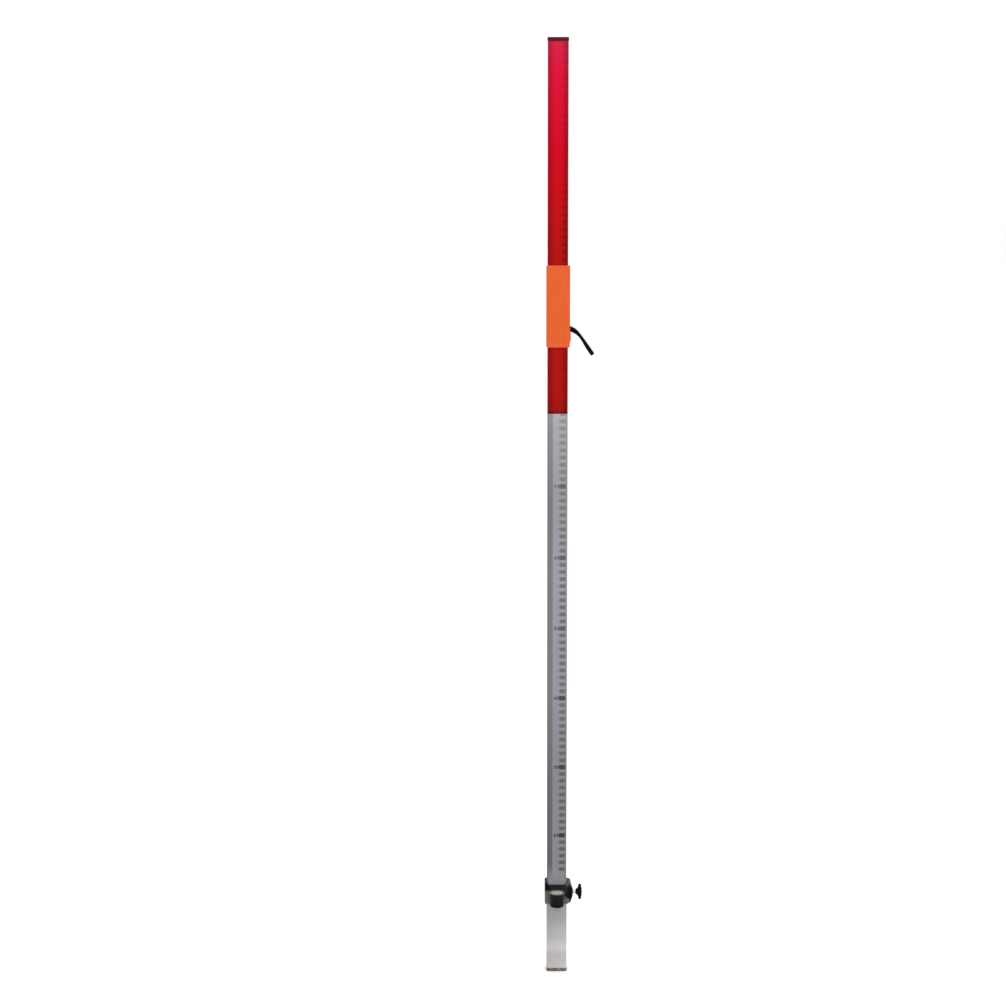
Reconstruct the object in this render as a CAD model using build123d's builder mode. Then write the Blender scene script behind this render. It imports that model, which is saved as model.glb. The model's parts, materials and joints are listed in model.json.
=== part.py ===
"""Telescopic laser levelling rod, standing closed: foot, staff, lock collar, level and receiver carriage."""

import os
from math import sqrt

from build123d import *

# Driving dimensions, in millimetres. The rod stands on Z = 0 and its scale faces -Y.

# Gaps between pieces
fit_gap = 0.1
press_gap = 0.05
slide_gap = 0.15
thread_gap = 0.06
hole_gap = 0.3
fluid_gap = 0.02

# Staff: hollow profile with a shallow channel in its front and in its back
staff_width = 27.4
staff_depth = 18.0
staff_length = 1195.7
staff_wall = 1.5
staff_corner = 1.2
staff_inner_corner = 0.8
channel_depth = 0.5
rail_width = 1.8

# Scale tapes
tape_thickness = 0.3
tape_start = 126.0
red_start = 803.0
tape_top_margin = 0.5

# Top cap
cap_height = 4.6
cap_margin = 0.5
cap_round = 1.2
cap_plug_length = 22.0
cap_plug_wall = 2.0
cap_screw_drop = 11.0
cap_screw_spacing = 10.0

# Foot: base plate, boot and plug
base_thickness = 5.0
base_margin = 0.15
base_corner = 2.0
base_chamfer = 0.5
boot_height = 96.5
boot_margin = 0.5
boot_corner = 1.8
boot_chamfer = 0.5
plug_height = 78.0
base_screw_spacing = 11.0
base_screw_length = 22.0
base_screw_sink = 0.2
boot_screw_first = 26.0
boot_screw_pitch = 42.0
boot_screw_length = 10.0

# Inner tube and what guides it in the staff
tube_gap = 1.2
tube_wall = 1.4
tube_corner = 1.0
guide_length = 36.0
guide_head = 10.0
guide_plug_length = 17.0
guide_head_room = 13.0
pin_diameter = 3.0
pin_recess = 0.6
spacer_length = 94.1
spacer_wall = 0.75
bush_length = 30.0
bush_flange = 1.0
bush_flange_margin = 1.3

# Lock collar
stop_gap = 0.3
collar_height = 31.6
collar_wall = 2.65
collar_side_wall = 3.0
collar_corner = 2.6
collar_edge = 2.2
collar_lip = 2.4
collar_front_drop = 3.9
block_reach = 9.15
block_depth = 18.0
block_low = 0.1
block_height = 31.4
block_foot_set = 3.0
block_foot_height = 10.5
block_flat_height = 7.5
block_shoulder_set = 3.4
block_corner = 2.2
block_round = 1.6
block_spot = 0.5
lock_height = 14.4
collar_screw_height = 24.0
collar_screw_spacing = 12.0

# Lock screw
stud_diameter = 6.0
dog_diameter = 3.6
dog_length = 1.4
nut_diameter = 9.0
nut_inset = 0.1
lock_nut_length = 5.8
pad_length = 4.5
knob_gap = 3.8
knob_length = 8.8
knob_span = 22.2
knob_tip_length = 4.1
knob_tip_set = 3.7
knob_flank_set = 3.0
knob_flank_height = 6.0
knob_hub_diameter = 7.6
knob_hub_taper = 8.0
knob_wing_thickness = 5.2
knob_corner = 1.9
knob_round = 1.1
knob_cover = 2.0

# Circular level
cup_diameter = 20.0
cup_height = 12.4
cup_wall = 0.9
cup_floor = 4.4
shelf_thickness = 4.5
shelf_height = 1.3
shelf_round = 2.0
gasket_thickness = 0.6
gasket_width = 2.0
gasket_inset = 0.4
ring_wall = 0.9
ring_skirt = 4.4
ring_lip = 0.8
ring_overlap = 0.6
ring_gap = 0.6
disc_thickness = 1.0
vial_wall = 1.3
vial_roof = 1.3
vial_stand = 2.1
vial_chamfer = 0.4
dome_radius = 30.0
bubble_radius = 3.2
bubble_depth = 1.5
vial_screw_radius = 5.6
vial_screw_count = 3

# Receiver carriage
carriage_start = 893.8
carriage_height = 110.9
carriage_left_gap = 0.25
carriage_right_gap = 1.5
carriage_side_wall = 1.3
carriage_front_wall = 1.65
carriage_corner = 1.6
carriage_edge = 0.8
carriage_back_drop = 4.0
carriage_taper_height = 7.0
carriage_taper_depth = 0.9
liner_thickness = 0.6
liner_width = 1.4
liner_margin = 5.0
side_liner_depth = 12.0
back_thickness = 4.25
back_margin = 5.0
boss_diameter = 17.0
boss_height = 3.0
boss_round = 0.8
carriage_screw_margin = 14.0
carriage_screw_length = 5.5
thumb_pad_low = 7.5
thumb_pad_height = 14.0
thumb_pad_depth = 12.0
thumb_pad_reach = 1.2
thumb_pad_corner = 3.0
thumb_pad_taper = 40.0

# Clamping lever and brake
hub_height = 21.7
hub_diameter = 13.0
hub_length = 13.4
hub_gap = 0.6
hub_round = 1.5
lever_neck = 10.0
lever_bend_radius = 26.0
lever_bend_angle = 56.0
lever_arm_length = 29.5
lever_root_width = 7.4
lever_bend_width = 6.4
lever_waist_width = 4.3
lever_arm_width = 5.2
lever_tip_width = 5.6
lever_tip_bulge = 1.0
lever_thickness = 8.0
lever_set_back = 0.6
lever_round = 1.4
stud_bury = 9.4
brake_nut_length = 4.5
shoe_width = 17.2
shoe_height = 29.2
shoe_thickness = 2.2
shoe_room = 0.8
shoe_side_gap = 0.4
lining_margin = 0.4

# Countersunk screws: shank diameters, and the head and its cross recess in shank diameters
large_shank = 4.0
medium_shank = 3.0
small_shank = 2.5
fine_shank = 2.0
head_ratio = 1.9
cross_length_ratio = 1.1
cross_width_ratio = 0.26
cross_depth_ratio = 0.4
sink_angle = 90.0

# Staff, tube and foot, worked out from the sizes above
staff_inner_width = staff_width - 2 * staff_wall
staff_inner_depth = staff_depth - 2 * (channel_depth + staff_wall)
channel_width = staff_width - 2 * rail_width
channel_floor = staff_depth / 2 - channel_depth
tube_width = staff_inner_width - 2 * tube_gap
tube_depth = staff_inner_depth - 2 * tube_gap
tube_inner_width = tube_width - 2 * tube_wall
tube_inner_depth = tube_depth - 2 * tube_wall
boot_width = staff_width + 2 * boot_margin
boot_depth = staff_depth + 2 * boot_margin
boot_top = base_thickness + boot_height

# Lock collar and staff heights
collar_bottom = boot_top + stop_gap
collar_top = collar_bottom + collar_height
lip_top = collar_bottom + collar_lip
flange_bottom = lip_top + press_gap
staff_bottom = flange_bottom + bush_flange + press_gap
staff_top = staff_bottom + staff_length
bore_width = staff_width + 2 * slide_gap
bore_depth = staff_depth + 2 * slide_gap
collar_half_x = bore_width / 2 + collar_side_wall
collar_half_y = bore_depth / 2 + collar_wall
block_face = bore_width / 2 + block_reach
block_end = block_face - block_spot
lock_z = collar_bottom + lock_height

# Tube end: guide, pin and stop sleeve
guide_top = staff_top - cap_plug_length - guide_head_room
guide_bottom = guide_top - guide_length
tube_top = guide_top - guide_head
pin_z = guide_bottom + guide_length / 2
pin_half = staff_inner_width / 2 - slide_gap - pin_recess
spacer_bottom = guide_bottom - fit_gap - spacer_length

# Lock screw along X
pad_tip = tube_width / 2 + press_gap
pad_back = pad_tip + pad_length
lock_stud_start = pad_back + press_gap
knob_start = block_face + knob_gap
knob_end = knob_start + knob_length

# Level along Z
cup_radius = cup_diameter / 2
ring_radius = cup_radius + fit_gap + ring_wall
vial_y = -(collar_half_y + ring_gap + ring_radius)
shelf_bottom = collar_bottom + shelf_height
shelf_top = shelf_bottom + shelf_thickness
cup_bottom = shelf_top + gasket_thickness
cup_top = cup_bottom + cup_height
disc_bottom = cup_bottom + cup_floor
vial_bottom = disc_bottom + disc_thickness
vial_top = cup_top + vial_stand
vial_radius = cup_radius - cup_wall - fit_gap
cavity_radius = vial_radius - vial_wall
dome_top = vial_top - vial_roof
vial_axis = Axis((0, vial_y, 0), (0, 0, 1))

# Carriage, brake and lever along Y
carriage_top = carriage_start + carriage_height
carriage_left = -(staff_width / 2 + carriage_left_gap)
carriage_right = staff_width / 2 + carriage_right_gap
back_inner = staff_depth / 2 + slide_gap + liner_thickness
back_outer = back_inner + back_thickness
carriage_front = -back_inner
shell_left = carriage_left - carriage_side_wall
shell_right = carriage_right + carriage_side_wall
shell_front = carriage_front - carriage_front_wall
hub_z = carriage_start + hub_height
boss_face = back_outer + boss_height
lining_face = channel_floor + press_gap
shoe_front = staff_depth / 2 + hole_gap
shoe_back = shoe_front + shoe_thickness
hub_face = boss_face + hub_gap
lever_front = hub_face + hub_length - lever_set_back - lever_thickness

# Screw lengths set by the pieces they hold
collar_screw_length = collar_half_y - staff_inner_depth / 2 - fit_gap
cap_screw_length = channel_floor - staff_inner_depth / 2 + fit_gap + cap_plug_wall
vial_screw_length = disc_bottom - shelf_bottom - fit_gap

os.makedirs("parts", exist_ok=True)


def save(part, name):
    part.label = name
    export_step(part, f"parts/{name}.step")


def front_plane(x, y, z):
    return Plane(origin=(x, y, z), x_dir=(1, 0, 0), z_dir=(0, -1, 0))


def back_plane(x, y, z):
    return Plane(origin=(x, y, z), x_dir=(1, 0, 0), z_dir=(0, 1, 0))


def right_plane(x, y, z):
    return Plane(origin=(x, y, z), x_dir=(0, 1, 0), z_dir=(1, 0, 0))


def left_plane(x, y, z):
    return Plane(origin=(x, y, z), x_dir=(0, 1, 0), z_dir=(-1, 0, 0))


def under_plane(x, y, z):
    return Plane(origin=(x, y, z), x_dir=(1, 0, 0), z_dir=(0, 0, -1))


def shank_hole(shank):
    return shank / 2 + fit_gap


def sink_radius(shank):
    return head_ratio * shank / 2 + fit_gap


def countersunk_screws(shank, length, planes):
    """Screws with the head's face on each plane, pointing into the piece."""
    shank_radius = shank / 2
    head_radius = head_ratio * shank_radius
    with BuildPart() as screw:
        with BuildSketch(Plane.XZ):
            with BuildLine():
                Polyline(
                    (0, 0),
                    (head_radius, 0),
                    (shank_radius, shank_radius - head_radius),
                    (shank_radius, -length),
                    (0, -length),
                    close=True,
                )
            make_face()
        revolve(axis=Axis.Z)
        with BuildSketch(Plane.XY):
            Rectangle(cross_length_ratio * shank, cross_width_ratio * shank)
            Rectangle(cross_width_ratio * shank, cross_length_ratio * shank)
        extrude(amount=-cross_depth_ratio * shank, mode=Mode.SUBTRACT)
    with BuildPart() as group:
        with Locations(*planes):
            add(screw.part)
    return group.part


def dome_height(radius):
    """Height of the level's domed roof at a radius."""
    return dome_top - dome_radius + sqrt(dome_radius**2 - radius**2)


# Places of the screws: each plane lies on the head's face and points out of the piece
base_screw_planes = [under_plane(side * base_screw_spacing / 2, 0, base_screw_sink) for side in (-1, 1)]
boot_screw_heights = [base_thickness + boot_screw_first + step * boot_screw_pitch for step in range(2)]
boot_screw_planes = [back_plane(0, boot_depth / 2, z) for z in boot_screw_heights]
cap_screw_z = staff_top - cap_screw_drop
cap_screw_planes = [back_plane(side * cap_screw_spacing / 2, channel_floor, cap_screw_z) for side in (-1, 1)]
collar_screw_z = collar_bottom + collar_screw_height
collar_screw_xs = [-collar_screw_spacing / 2, collar_screw_spacing / 2]
collar_screw_planes = [back_plane(x, collar_half_y, collar_screw_z) for x in collar_screw_xs]
carriage_screw_y = (back_inner + back_outer) / 2
carriage_screw_heights = [carriage_start + carriage_screw_margin, carriage_top - carriage_screw_margin]
carriage_screw_planes = [right_plane(shell_right, carriage_screw_y, z) for z in carriage_screw_heights]
carriage_screw_planes += [left_plane(shell_left, carriage_screw_y, z) for z in carriage_screw_heights]
vial_screw_spots = [
    Vector(0, vial_screw_radius, 0).rotate(Axis.Z, step * 360 / vial_screw_count)
    for step in range(vial_screw_count)
]
vial_screw_planes = [under_plane(spot.X, vial_y + spot.Y, shelf_bottom) for spot in vial_screw_spots]

# Base plate
with BuildPart() as base_plate:
    with BuildSketch():
        RectangleRounded(boot_width + 2 * base_margin, boot_depth + 2 * base_margin, base_corner)
    extrude(amount=base_thickness)
    chamfer(base_plate.faces().sort_by(Axis.Z)[0].edges(), length=base_chamfer)
    with Locations(*[under_plane(plane.origin.X, 0, 0) for plane in base_screw_planes]):
        CounterSinkHole(
            radius=shank_hole(large_shank),
            counter_sink_radius=sink_radius(large_shank) + base_screw_sink,
            depth=base_thickness,
            counter_sink_angle=sink_angle,
        )
save(base_plate.part, "base_plate")

# Boot round the tube's lower end
with BuildPart() as foot_boot:
    with BuildSketch(Plane.XY.offset(base_thickness)):
        RectangleRounded(boot_width, boot_depth, boot_corner)
    extrude(amount=boot_height)
    chamfer(foot_boot.faces().sort_by(Axis.Z)[-1].edges(), length=boot_chamfer)
    with BuildSketch(Plane.XY.offset(base_thickness)):
        RectangleRounded(tube_width + 2 * fit_gap, tube_depth + 2 * fit_gap, tube_corner)
    extrude(amount=boot_height, mode=Mode.SUBTRACT)
    with Locations(*boot_screw_planes):
        CounterSinkHole(
            radius=shank_hole(large_shank),
            counter_sink_radius=sink_radius(large_shank),
            depth=boot_depth / 2,
            counter_sink_angle=sink_angle,
        )
save(foot_boot.part, "foot_boot")

# Plug inside the tube's lower end, which takes the screws of base plate and boot
with BuildPart() as foot_plug:
    with BuildSketch(Plane.XY.offset(base_thickness)):
        Rectangle(tube_inner_width - 2 * fit_gap, tube_inner_depth - 2 * fit_gap)
    extrude(amount=plug_height)
    with Locations(*[under_plane(plane.origin.X, 0, base_thickness) for plane in base_screw_planes]):
        Hole(radius=shank_hole(large_shank), depth=base_screw_length)
    with Locations(*[back_plane(0, tube_inner_depth / 2, z) for z in boot_screw_heights]):
        Hole(radius=shank_hole(large_shank), depth=tube_inner_depth - tube_wall)
save(foot_plug.part, "foot_plug")

save(countersunk_screws(large_shank, base_screw_length, base_screw_planes), "base_screws")
save(countersunk_screws(large_shank, boot_screw_length, boot_screw_planes), "boot_screws")

# Inner tube, standing on the base plate
with BuildPart() as inner_tube:
    with BuildSketch(Plane.XY.offset(base_thickness)):
        RectangleRounded(tube_width, tube_depth, tube_corner)
        Rectangle(tube_inner_width, tube_inner_depth, mode=Mode.SUBTRACT)
    extrude(amount=tube_top - base_thickness)
    with Locations(right_plane(tube_width / 2, 0, pin_z)):
        Hole(radius=pin_diameter / 2 + press_gap, depth=tube_width)
    with Locations(*[back_plane(0, tube_depth / 2, z) for z in boot_screw_heights]):
        Hole(radius=shank_hole(large_shank), depth=tube_wall + fit_gap)
save(inner_tube.part, "inner_tube")

# Guide on the tube's top end, running inside the staff
with BuildPart() as upper_guide:
    with BuildSketch(Plane.XY.offset(guide_bottom)):
        RectangleRounded(
            staff_inner_width - 2 * slide_gap, staff_inner_depth - 2 * slide_gap, staff_inner_corner
        )
    extrude(amount=guide_length)
    with BuildSketch(Plane.XY.offset(guide_bottom)):
        Rectangle(tube_width + 2 * press_gap, tube_depth + 2 * press_gap)
    extrude(amount=guide_length - guide_head, mode=Mode.SUBTRACT)
    with BuildSketch(Plane.XY.offset(tube_top)):
        Rectangle(tube_inner_width - 2 * fit_gap, tube_inner_depth - 2 * fit_gap)
    extrude(amount=-guide_plug_length)
    with Locations(right_plane(staff_inner_width / 2, 0, pin_z)):
        Hole(radius=pin_diameter / 2 + press_gap, depth=staff_inner_width)
save(upper_guide.part, "upper_guide")

# Cross pin through guide and tube
with BuildPart() as guide_pin:
    with BuildSketch(right_plane(-pin_half, 0, pin_z)):
        Circle(pin_diameter / 2)
    extrude(amount=2 * pin_half)
save(guide_pin.part, "guide_pin")

# Sleeve under the guide that meets the bush at full height
with BuildPart() as stop_spacer:
    with BuildSketch(Plane.XY.offset(spacer_bottom)):
        spacer_margin = 2 * (fit_gap + spacer_wall)
        RectangleRounded(tube_width + spacer_margin, tube_depth + spacer_margin, tube_corner)
        RectangleRounded(
            tube_width + 2 * fit_gap, tube_depth + 2 * fit_gap, tube_corner, mode=Mode.SUBTRACT
        )
    extrude(amount=spacer_length)
save(stop_spacer.part, "stop_spacer")

# Staff profile
with BuildPart() as staff_profile:
    with BuildSketch(Plane.XY.offset(staff_bottom)):
        RectangleRounded(staff_width, staff_depth, staff_corner)
        with Locations((0, -staff_depth / 2), (0, staff_depth / 2)):
            Rectangle(channel_width, 2 * channel_depth, mode=Mode.SUBTRACT)
        RectangleRounded(
            staff_inner_width, staff_inner_depth, staff_inner_corner, mode=Mode.SUBTRACT
        )
    extrude(amount=staff_length)
    with Locations(right_plane(staff_width / 2, 0, lock_z)):
        Hole(radius=stud_diameter / 2 + hole_gap, depth=staff_wall + fit_gap)
    with Locations(*cap_screw_planes):
        CounterSinkHole(
            radius=shank_hole(small_shank),
            counter_sink_radius=sink_radius(small_shank),
            depth=staff_wall + fit_gap,
            counter_sink_angle=sink_angle,
        )
    with Locations(*[back_plane(x, channel_floor, collar_screw_z) for x in collar_screw_xs]):
        Hole(radius=shank_hole(medium_shank), depth=staff_wall + fit_gap)
save(staff_profile.part, "staff_profile")


def scale_tape(bottom, top, name):
    """A strip of scale tape on the floor of the front channel."""
    with BuildPart() as tape:
        with BuildSketch(front_plane(0, -channel_floor, (bottom + top) / 2)):
            Rectangle(channel_width - 2 * fit_gap, top - bottom)
        extrude(amount=tape_thickness)
    save(tape.part, name)


scale_tape(tape_start, red_start, "scale_tape_grey")
scale_tape(red_start, staff_top - tape_top_margin, "scale_tape_red")

# Top cap with its hollow plug
with BuildPart() as top_cap:
    with BuildSketch(Plane.XY.offset(staff_top)):
        RectangleRounded(
            staff_width + 2 * cap_margin, staff_depth + 2 * cap_margin, staff_corner + cap_margin
        )
    extrude(amount=cap_height)
    fillet(top_cap.faces().sort_by(Axis.Z)[-1].edges(), radius=cap_round)
    with BuildSketch(Plane.XY.offset(staff_top)):
        plug_width = staff_inner_width - 2 * fit_gap
        plug_depth = staff_inner_depth - 2 * fit_gap
        RectangleRounded(plug_width, plug_depth, staff_inner_corner)
        Rectangle(plug_width - 2 * cap_plug_wall, plug_depth - 2 * cap_plug_wall, mode=Mode.SUBTRACT)
    extrude(amount=-cap_plug_length)
    with Locations(*cap_screw_planes):
        Hole(radius=shank_hole(small_shank), depth=cap_screw_length + fit_gap)
save(top_cap.part, "top_cap")

save(countersunk_screws(small_shank, cap_screw_length, cap_screw_planes), "cap_screws")

# Body of the lock collar, rounded at the top
with BuildPart() as collar_body:
    with BuildSketch(Plane.XY.offset(collar_bottom)):
        RectangleRounded(2 * collar_half_x, 2 * collar_half_y, collar_corner)
    extrude(amount=collar_height)
    fillet(collar_body.faces().sort_by(Axis.Z)[-1].edges(), radius=collar_edge)

# Shelf for the level, rounded underneath
with BuildPart() as level_shelf:
    with BuildSketch(Plane.XY.offset(shelf_bottom)):
        with Locations((0, (vial_y - staff_depth / 2) / 2)):
            Rectangle(cup_diameter, -vial_y - staff_depth / 2)
        with Locations((0, vial_y)):
            Circle(cup_radius)
    extrude(amount=shelf_thickness)
    fillet(level_shelf.faces().sort_by(Axis.Z)[0].edges().filter_by(GeomType.CIRCLE), radius=shelf_round)

# Lock collar: clamp block with sloping shoulders at the right, body round the staff's end, and shelf
with BuildPart() as lock_collar:
    with BuildSketch(front_plane(0, 0, collar_bottom + block_low)) as block_outline:
        with BuildLine():
            Polyline(
                (bore_width / 2, 0),
                (block_end - block_foot_set, 0),
                (block_end, block_foot_height),
                (block_end, block_foot_height + block_flat_height),
                (block_end - block_shoulder_set, block_height),
                (bore_width / 2, block_height),
                close=True,
            )
        make_face()
        fillet(block_outline.vertices().sort_by(Axis.X)[2:], radius=block_corner)
    extrude(amount=block_depth / 2, both=True)
    fillet(lock_collar.faces().sort_by(Axis.X)[-1].edges().filter_by(Axis.Z), radius=block_round)
    with BuildSketch(right_plane(bore_width / 2, 0, lock_z)):
        Circle(nut_diameter / 2 + collar_wall / 2)
    extrude(amount=block_reach)
    add(collar_body.part)
    add(level_shelf.part)
    with BuildSketch(Plane.XY.offset(lip_top)):
        RectangleRounded(bore_width, bore_depth, staff_corner)
    extrude(amount=collar_height, mode=Mode.SUBTRACT)
    with BuildSketch(Plane.XY.offset(collar_bottom)):
        RectangleRounded(tube_width + 2 * hole_gap, tube_depth + 2 * hole_gap, tube_corner)
    extrude(amount=collar_lip, mode=Mode.SUBTRACT)
    with BuildSketch(Plane.XY.offset(collar_top)):
        with Locations((0, -collar_half_y)):
            Rectangle(bore_width, 2 * collar_half_y)
    extrude(amount=-collar_front_drop, mode=Mode.SUBTRACT)
    with Locations(right_plane(block_face, 0, lock_z)):
        Hole(radius=stud_diameter / 2 + hole_gap, depth=block_reach + fit_gap)
        Hole(radius=nut_diameter / 2 + fit_gap, depth=lock_nut_length + 2 * nut_inset)
    with Locations(*collar_screw_planes):
        CounterSinkHole(
            radius=shank_hole(medium_shank),
            counter_sink_radius=sink_radius(medium_shank),
            depth=collar_wall + slide_gap,
            counter_sink_angle=sink_angle,
        )
    with Locations(*vial_screw_planes):
        CounterSinkHole(
            radius=shank_hole(fine_shank),
            counter_sink_radius=sink_radius(fine_shank),
            depth=shelf_thickness,
            counter_sink_angle=sink_angle,
        )
save(lock_collar.part, "lock_collar")

save(countersunk_screws(medium_shank, collar_screw_length, collar_screw_planes), "collar_screws")

# Bush in the staff's lower end, with a flange under the staff
with BuildPart() as lower_bush:
    with BuildSketch(Plane.XY.offset(flange_bottom)):
        RectangleRounded(
            staff_inner_width + 2 * bush_flange_margin,
            staff_inner_depth + 2 * bush_flange_margin,
            staff_corner,
        )
    extrude(amount=bush_flange)
    with BuildSketch(Plane.XY.offset(flange_bottom)):
        RectangleRounded(
            staff_inner_width - 2 * fit_gap, staff_inner_depth - 2 * fit_gap, staff_inner_corner
        )
    extrude(amount=staff_bottom - flange_bottom + bush_length)
    with BuildSketch(Plane.XY.offset(flange_bottom)):
        RectangleRounded(tube_width + 2 * slide_gap, tube_depth + 2 * slide_gap, tube_corner)
    extrude(amount=staff_bottom - flange_bottom + bush_length, mode=Mode.SUBTRACT)
    with Locations(right_plane(staff_inner_width / 2, 0, lock_z)):
        Hole(radius=stud_diameter / 2 + hole_gap, depth=tube_gap)
save(lower_bush.part, "lower_bush")

# Brass insert in the clamp block
with BuildPart() as lock_nut:
    with BuildSketch(right_plane(block_face - nut_inset, 0, lock_z)):
        Circle(nut_diameter / 2)
        Circle(stud_diameter / 2 + thread_gap, mode=Mode.SUBTRACT)
    extrude(amount=-lock_nut_length)
save(lock_nut.part, "lock_nut")

# Pad that the lock screw pushes against the inner tube
with BuildPart() as lock_pad:
    with BuildSketch(right_plane(pad_tip, 0, lock_z)):
        Circle(stud_diameter / 2)
    extrude(amount=pad_length)
    with Locations(right_plane(pad_back, 0, lock_z)):
        Hole(radius=dog_diameter / 2 + fit_gap, depth=dog_length + fit_gap)
save(lock_pad.part, "lock_pad")

# Lock stud, with a dog point that sits in the pad
with BuildPart() as lock_stud:
    with BuildSketch(right_plane(lock_stud_start, 0, lock_z)):
        Circle(stud_diameter / 2)
    extrude(amount=knob_end - knob_cover - lock_stud_start)
    with BuildSketch(right_plane(lock_stud_start, 0, lock_z)):
        Circle(dog_diameter / 2)
    extrude(amount=-dog_length)
save(lock_stud.part, "lock_stud")

# Wing knob on the stud
with BuildPart() as wing_knob:
    with BuildSketch(front_plane(knob_start, 0, lock_z)) as knob_outline:
        with BuildLine():
            Polyline(
                (knob_tip_set, knob_span / 2),
                (knob_tip_set + knob_tip_length, knob_span / 2),
                (knob_length, knob_hub_diameter / 2),
                (knob_length, -knob_hub_diameter / 2),
                (knob_tip_set + knob_tip_length, -knob_span / 2),
                (knob_tip_set, -knob_span / 2),
            )
            for side in (-1, 1):
                ThreePointArc(
                    (knob_tip_set, side * knob_span / 2),
                    (knob_flank_set, side * knob_flank_height),
                    (0, side * stud_diameter / 2),
                )
            Line((0, -stud_diameter / 2), (0, stud_diameter / 2))
        make_face()
        tips = knob_outline.vertices().group_by(Axis.Y)
        fillet(tips[0] + tips[-1], radius=knob_corner)
    extrude(amount=knob_wing_thickness / 2, both=True)
    fillet(wing_knob.faces().filter_by(Axis.Y).edges(), radius=knob_round)
    with BuildSketch(right_plane(knob_start, 0, lock_z)):
        Circle(knob_hub_diameter / 2)
    extrude(amount=knob_length, taper=-knob_hub_taper)
    with Locations(left_plane(knob_start, 0, lock_z)):
        Hole(radius=stud_diameter / 2 + press_gap, depth=knob_length - knob_cover + fit_gap)
save(wing_knob.part, "wing_knob")

# Gasket under the level's cup
with BuildPart() as vial_gasket:
    with BuildSketch(Plane.XY.offset(shelf_top)):
        with Locations((0, vial_y)):
            Circle(cup_radius - gasket_inset)
            Circle(cup_radius - gasket_inset - gasket_width, mode=Mode.SUBTRACT)
    extrude(amount=gasket_thickness)
save(vial_gasket.part, "vial_gasket")

# Cup of the level
with BuildPart() as vial_cup:
    with BuildSketch(Plane.XY.offset(cup_bottom)):
        with Locations((0, vial_y)):
            Circle(cup_radius)
    extrude(amount=cup_height)
    with BuildSketch(Plane.XY.offset(disc_bottom)):
        with Locations((0, vial_y)):
            Circle(cup_radius - cup_wall)
    extrude(amount=cup_height, mode=Mode.SUBTRACT)
    with Locations(*[under_plane(spot.X, vial_y + spot.Y, cup_bottom) for spot in vial_screw_spots]):
        Hole(radius=shank_hole(fine_shank), depth=cup_floor)
save(vial_cup.part, "vial_cup")

# Disc that closes the vial from below
with BuildPart() as vial_disc:
    with BuildSketch(Plane.XY.offset(disc_bottom)):
        with Locations((0, vial_y)):
            Circle(vial_radius)
    extrude(amount=disc_thickness)
save(vial_disc.part, "vial_disc")

# Clear vial with a domed roof inside
with BuildPart() as vial_body:
    with BuildSketch(front_plane(0, vial_y, 0)):
        with BuildLine():
            ThreePointArc(
                (0, dome_top),
                (cavity_radius / 2, dome_height(cavity_radius / 2)),
                (cavity_radius, dome_height(cavity_radius)),
            )
            Polyline(
                (cavity_radius, dome_height(cavity_radius)),
                (cavity_radius, vial_bottom),
                (vial_radius, vial_bottom),
                (vial_radius, vial_top - vial_chamfer),
                (vial_radius - vial_chamfer, vial_top),
                (0, vial_top),
                (0, dome_top),
            )
        make_face()
    revolve(axis=vial_axis)
save(vial_body.part, "vial_body")

# Fluid in the vial, hollowed at the top by the bubble
with BuildPart() as vial_fluid:
    with BuildSketch(front_plane(0, vial_y, 0)):
        fluid_radius = cavity_radius - fluid_gap
        with BuildLine():
            ThreePointArc(
                (0, dome_top - fluid_gap),
                (fluid_radius / 2, dome_height(fluid_radius / 2) - fluid_gap),
                (fluid_radius, dome_height(fluid_radius) - fluid_gap),
            )
            Polyline(
                (fluid_radius, dome_height(fluid_radius) - fluid_gap),
                (fluid_radius, vial_bottom + fluid_gap),
                (0, vial_bottom + fluid_gap),
                (0, dome_top - fluid_gap),
            )
        make_face()
    revolve(axis=vial_axis)
    bubble_curve = (bubble_radius**2 + bubble_depth**2) / (2 * bubble_depth)
    with Locations((0, vial_y, dome_top - bubble_depth + bubble_curve)):
        Sphere(bubble_curve, mode=Mode.SUBTRACT)
save(vial_fluid.part, "vial_fluid")

# Ring that holds the vial in its cup
with BuildPart() as vial_ring:
    with BuildSketch(front_plane(0, vial_y, 0)):
        skirt_radius = cup_radius + fit_gap
        neck_radius = vial_radius + fit_gap
        with BuildLine():
            Polyline(
                (skirt_radius, cup_top - ring_skirt),
                (ring_radius, cup_top - ring_skirt),
                (ring_radius, vial_top + ring_lip),
                (neck_radius - ring_overlap, vial_top + ring_lip),
                (neck_radius - ring_overlap, vial_top + press_gap),
                (neck_radius, vial_top + press_gap),
                (neck_radius, cup_top + press_gap),
                (skirt_radius, cup_top + press_gap),
                close=True,
            )
        make_face()
    revolve(axis=vial_axis)
    fillet(vial_ring.faces().sort_by(Axis.Z)[-1].edges(), radius=ring_lip / 4)
save(vial_ring.part, "vial_ring")

save(countersunk_screws(fine_shank, vial_screw_length, vial_screw_planes), "vial_screws")

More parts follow.
